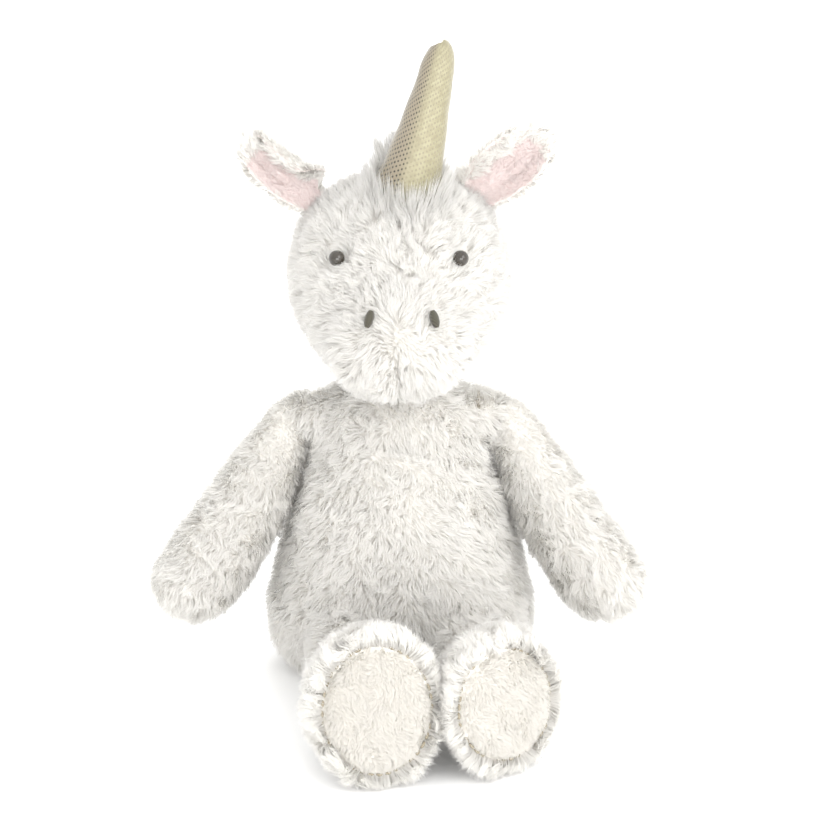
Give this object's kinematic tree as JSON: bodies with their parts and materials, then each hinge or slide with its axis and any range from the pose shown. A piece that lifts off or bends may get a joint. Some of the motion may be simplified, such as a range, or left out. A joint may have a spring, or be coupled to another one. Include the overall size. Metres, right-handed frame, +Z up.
{
  "type": "plush unicorn",
  "caption": "Seated white plush unicorn with a pale gold fabric horn, pink-lined ears, flipper arms and oval foot pads.",
  "frame": {"origin": "on the floor below the middle of the body, where the toy rests on its base", "axes": "+Z up, -Y the way the face looks, +X to the toy's own left, which is the right as seen from the front"},
  "size_m": [0.2352, 0.2329, 0.2954],
  "materials": {
    "white_plush": "clumpy white plush with a 9 mm pile",
    "pink_plush": "short pale pink plush",
    "sole_plush": "white plush with a shorter pile",
    "seam_cloth": "turned seam allowance of knitted backing",
    "horn_cloth": "smooth pale gold fabric with fine dark dots and a pearly sheen",
    "polyester_fibre": "loose white polyester stuffing",
    "pellet_cloth": "thin plain woven cloth",
    "pellets": "small round plastic pellets",
    "eye_plastic": "polished very dark brown plastic",
    "washer_plastic": "white moulded plastic",
    "nostril_thread": "dark olive satin-stitch thread",
    "label_cloth": "blank white satin ribbon"
  },
  "bodies": {
    "body": {"body_front_panel": "white_plush", "body_back_left_panel": "white_plush", "body_back_right_panel": "white_plush", "base_panel": "white_plush", "body_stuffing": "polyester_fibre", "pellet_bag": "pellet_cloth", "pellet_fill": "pellets", "care_label": "label_cloth"},
    "neck": {"neck_seam": "seam_cloth"},
    "head": {"head_left_panel": "white_plush", "head_right_panel": "white_plush", "muzzle_panel": "white_plush", "head_stuffing": "polyester_fibre", "eye_left": "eye_plastic", "eye_right": "eye_plastic", "eye_washer_left": "washer_plastic", "eye_washer_right": "washer_plastic", "nostril_left": "nostril_thread", "nostril_right": "nostril_thread", "mane": "white_plush"},
    "horn": {"horn_cover": "horn_cloth", "horn_stuffing": "polyester_fibre"},
    "ear_left": {"ear_left_back": "white_plush", "ear_left_lining": "pink_plush"},
    "ear_right": {"ear_right_back": "white_plush", "ear_right_lining": "pink_plush"},
    "tail": {"tail": "white_plush"},
    "shoulder_left": {"arm_left_seam": "seam_cloth"},
    "arm_left": {"arm_left_front_panel": "white_plush", "arm_left_back_panel": "white_plush", "arm_left_stuffing": "polyester_fibre"},
    "hip_left": {"leg_left_seam": "seam_cloth"},
    "leg_left": {"leg_left_top_panel": "white_plush", "leg_left_bottom_panel": "white_plush", "leg_left_welt": "white_plush", "leg_left_sole": "sole_plush", "leg_left_stuffing": "polyester_fibre"},
    "shoulder_right": {"arm_right_seam": "seam_cloth"},
    "arm_right": {"arm_right_front_panel": "white_plush", "arm_right_back_panel": "white_plush", "arm_right_stuffing": "polyester_fibre"},
    "hip_right": {"leg_right_seam": "seam_cloth"},
    "leg_right": {"leg_right_top_panel": "white_plush", "leg_right_bottom_panel": "white_plush", "leg_right_welt": "white_plush", "leg_right_sole": "sole_plush", "leg_right_stuffing": "polyester_fibre"}
  },
  "joints": [
    {"name": "head_turn", "type": "hinge", "parent": "body", "child": "neck", "pos_m": [0, 0, 0.134], "axis": [0, 0, 1], "range_deg": [-35, 35], "stiffness_Nm_per_rad": 0.3},
    {"name": "head_nod", "type": "hinge", "parent": "neck", "child": "head", "pos_m": [0, 0, 0.134], "axis": [1, 0, 0], "range_deg": [-12, 12], "stiffness_Nm_per_rad": 0.8},
    {"name": "horn_bend", "type": "hinge", "parent": "head", "child": "horn", "pos_m": [0.0039, -0.01365, 0.23133], "axis": [1, 0, 0], "range_deg": [-15, 15], "stiffness_Nm_per_rad": 0.02},
    {"name": "ear_left_fold", "type": "hinge", "parent": "head", "child": "ear_left", "pos_m": [-0.03599, 0.002, 0.221], "axis": [0.5887, 0.2079, 0.7812], "range_deg": [-15, 15], "stiffness_Nm_per_rad": 0.01},
    {"name": "ear_right_fold", "type": "hinge", "parent": "head", "child": "ear_right", "pos_m": [0.03599, 0.002, 0.221], "axis": [0.5887, -0.2079, -0.7812], "range_deg": [-15, 15], "stiffness_Nm_per_rad": 0.01},
    {"name": "tail_lift", "type": "hinge", "parent": "body", "child": "tail", "pos_m": [0, 0.0562, 0.047], "axis": [1, 0, 0], "range_deg": [0, 60], "stiffness_Nm_per_rad": 0.01},
    {"name": "arm_left_swing", "type": "hinge", "parent": "body", "child": "shoulder_left", "pos_m": [-0.049, 0.001, 0.121], "axis": [-1, 0, 0], "range_deg": [-50, 60], "stiffness_Nm_per_rad": 0.15},
    {"name": "arm_left_raise", "type": "hinge", "parent": "shoulder_left", "child": "arm_left", "pos_m": [-0.049, 0.001, 0.121], "axis": [0, 1, 0], "range_deg": [0, 75], "stiffness_Nm_per_rad": 0.2},
    {"name": "arm_right_swing", "type": "hinge", "parent": "body", "child": "shoulder_right", "pos_m": [0.049, 0.001, 0.121], "axis": [-1, 0, 0], "range_deg": [-50, 60], "stiffness_Nm_per_rad": 0.15},
    {"name": "arm_right_raise", "type": "hinge", "parent": "shoulder_right", "child": "arm_right", "pos_m": [0.049, 0.001, 0.121], "axis": [0, -1, 0], "range_deg": [0, 75], "stiffness_Nm_per_rad": 0.2},
    {"name": "leg_left_lift", "type": "hinge", "parent": "body", "child": "hip_left", "pos_m": [-0.0265, -0.05952, 0.0185], "axis": [-1, 0, 0], "range_deg": [0, 35], "stiffness_Nm_per_rad": 0.2},
    {"name": "leg_left_spread", "type": "hinge", "parent": "hip_left", "child": "leg_left", "pos_m": [-0.0265, -0.05952, 0.0185], "axis": [0, 0, -1], "range_deg": [0, 20], "stiffness_Nm_per_rad": 0.2},
    {"name": "leg_right_lift", "type": "hinge", "parent": "body", "child": "hip_right", "pos_m": [0.0265, -0.05252, 0.0185], "axis": [-1, 0, 0], "range_deg": [0, 35], "stiffness_Nm_per_rad": 0.2},
    {"name": "leg_right_spread", "type": "hinge", "parent": "hip_right", "child": "leg_right", "pos_m": [0.0265, -0.05252, 0.0185], "axis": [0, 0, 1], "range_deg": [0, 20], "stiffness_Nm_per_rad": 0.2}
  ]
}
